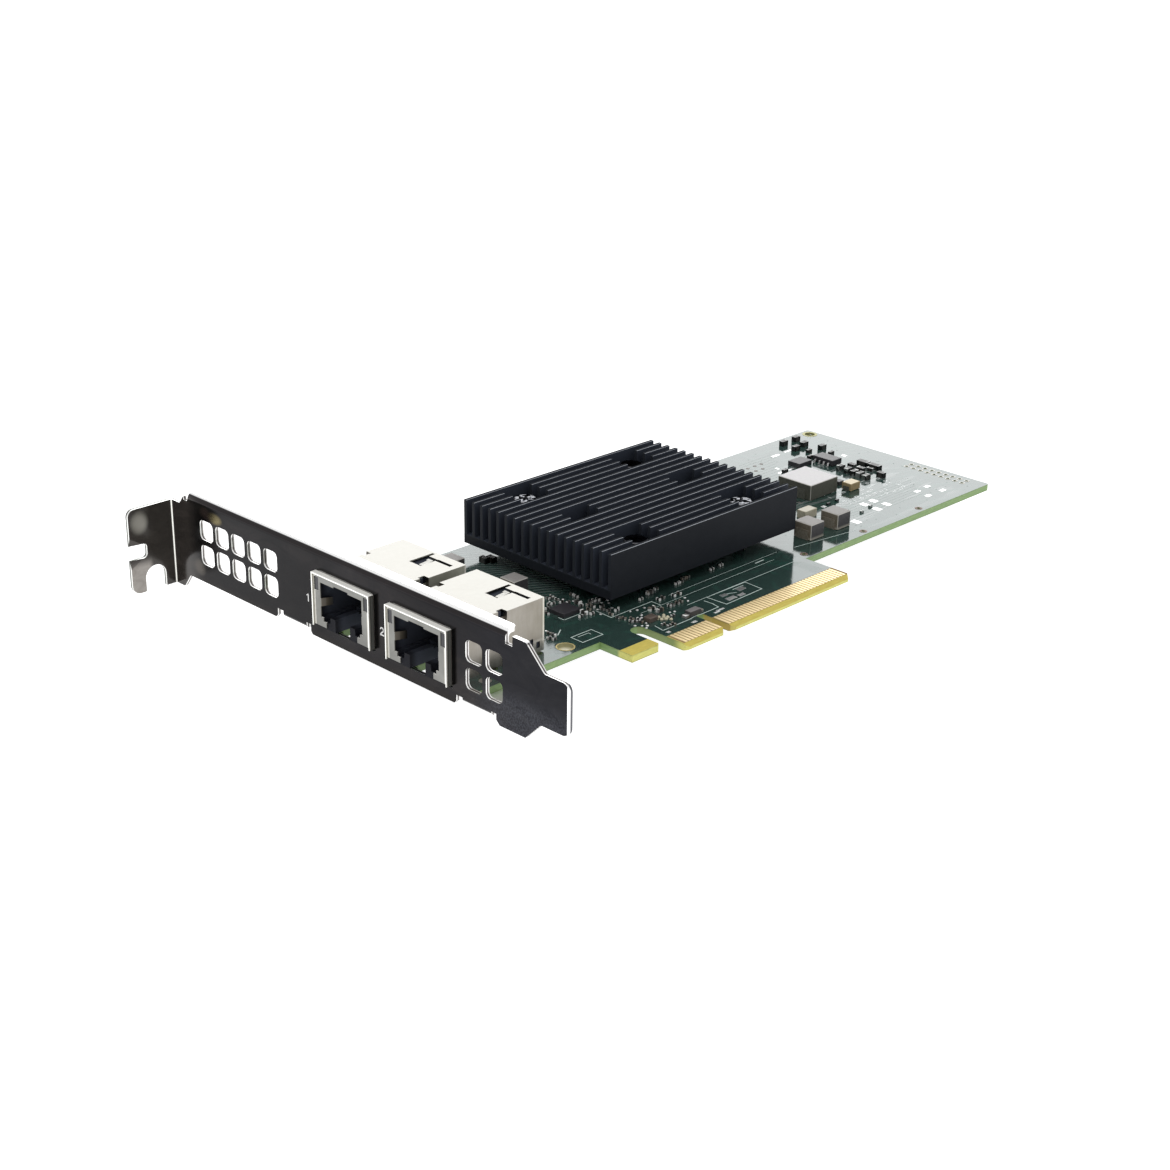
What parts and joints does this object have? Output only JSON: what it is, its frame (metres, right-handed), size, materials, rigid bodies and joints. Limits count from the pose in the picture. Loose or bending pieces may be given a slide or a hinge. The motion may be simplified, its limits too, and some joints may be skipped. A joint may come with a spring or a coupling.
{
  "type": "network interface card",
  "caption": "Flat network interface card with a card-edge connector, a folded mounting bracket, shielded plug sockets and a black finned heat sink.",
  "frame": {"origin": "centre of the connector's key notch, at the connector's tip, on the board's component-side surface", "axes": "+X along the card to the board's rear edge (the bracket stands at the -X end); +Y across the board away from the connector; +Z out of the component side"},
  "size_m": [0.1782, 0.1211, 0.0221],
  "materials": {
    "soldermask": "glossy dark green solder mask",
    "gold": "thin gold plating",
    "bracket_steel": "bright nickel-plated sheet steel",
    "screw_steel": "plain steel",
    "black_steel": "blackened steel",
    "tin_shell": "satin tin-plated sheet",
    "black_moulding": "black moulded insulator",
    "contact_gold": "gold-plated wire",
    "lens": "smoky clear lens",
    "solder": "bright solder",
    "anodised": "matt black anodised aluminium",
    "chip_black": "matt black moulding compound",
    "pad_grey": "soft grey heat-conducting pad",
    "ferrite": "pressed metal powder, warm grey",
    "terminal_tin": "tinned terminal",
    "polymer_cap": "pale moulded case",
    "tantalum": "ochre moulded case",
    "ceramic_brown": "brown-grey ceramic",
    "resistor_black": "black resistor glaze",
    "crystal_can": "bronzed metal lid"
  },
  "bodies": {
    "root": {"bracket": "bracket_steel", "bracket_screws": "screw_steel", "capacitor_ends": "terminal_tin", "ceramic_capacitors": "ceramic_brown", "circuit_board": "soldermask", "controller_chip": "chip_black", "converter_chip": "chip_black", "crystal": "crystal_can", "diode": "chip_black", "diode_terminals": "terminal_tin", "edge_contacts_component_side": "gold", "edge_contacts_solder_side": "gold", "flat_chips": "chip_black", "front_inductor_cores": "ferrite", "front_inductor_terminals": "terminal_tin", "heat_sink": "anodised", "jack_1_contacts": "contact_gold", "jack_1_housing": "black_moulding", "jack_1_magnetics": "black_moulding", "jack_1_shield": "tin_shell", "jack_2_contacts": "contact_gold", "jack_2_housing": "black_moulding", "jack_2_magnetics": "black_moulding", "jack_2_shield": "tin_shell", "jack_solder_pins": "solder", "lamp_lenses": "lens", "large_inductor_core": "ferrite", "large_inductor_terminals": "terminal_tin", "memory_chip": "chip_black", "memory_chip_leads": "terminal_tin", "plated_rings": "gold", "polymer_capacitor": "polymer_cap", "resistor_ends": "terminal_tin", "resistors": "resistor_black", "sink_nuts": "screw_steel", "sink_screws": "black_steel", "sink_springs": "black_steel", "small_inductor_cores": "ferrite", "small_inductor_terminals": "terminal_tin", "tantalum_capacitor": "tantalum", "tantalum_terminals": "terminal_tin", "thermal_pad": "pad_grey"}
  },
  "joints": []
}
